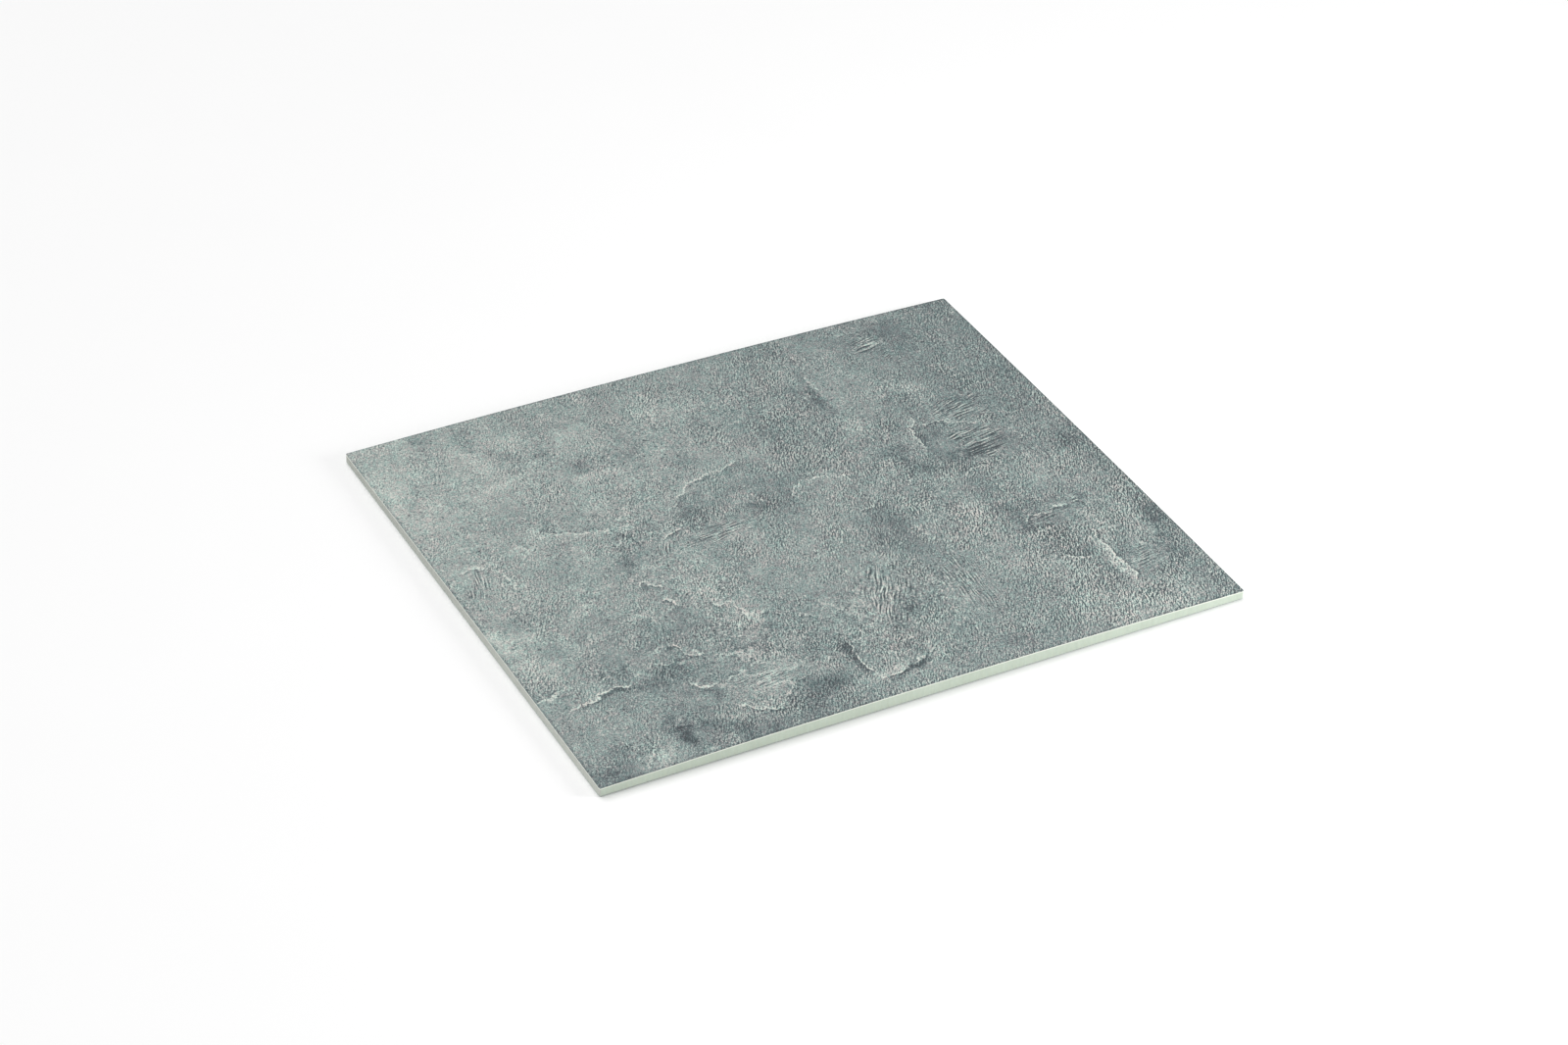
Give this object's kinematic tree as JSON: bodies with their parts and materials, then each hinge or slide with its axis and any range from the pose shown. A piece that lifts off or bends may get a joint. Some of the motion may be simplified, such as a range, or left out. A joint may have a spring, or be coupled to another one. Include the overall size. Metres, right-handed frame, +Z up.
{
  "type": "stone slab",
  "caption": "Thin rectangular stone-look slab with a lightly embossed, slightly crowned top and a flat underside, laid on a bench as a hard, smooth work surface.",
  "frame": {"origin": "middle of the flat underside", "axes": "+X along the long side, +Y along the short side, +Z up out of the textured top"},
  "size_m": [0.3, 0.25, 0.0065],
  "materials": {
    "stone_facing": "embossed, mottled grey with a blue-green cast, low sheen",
    "white_base": "white, matte",
    "pale_core": "pale sage green, sawn and lightly rubbed",
    "backing": "matte, fine woven texture"
  },
  "bodies": {
    "root": {"stone_facing": "stone_facing", "white_base_layer": "white_base", "core_slab": "pale_core", "backing_sheet": "backing"}
  },
  "joints": []
}
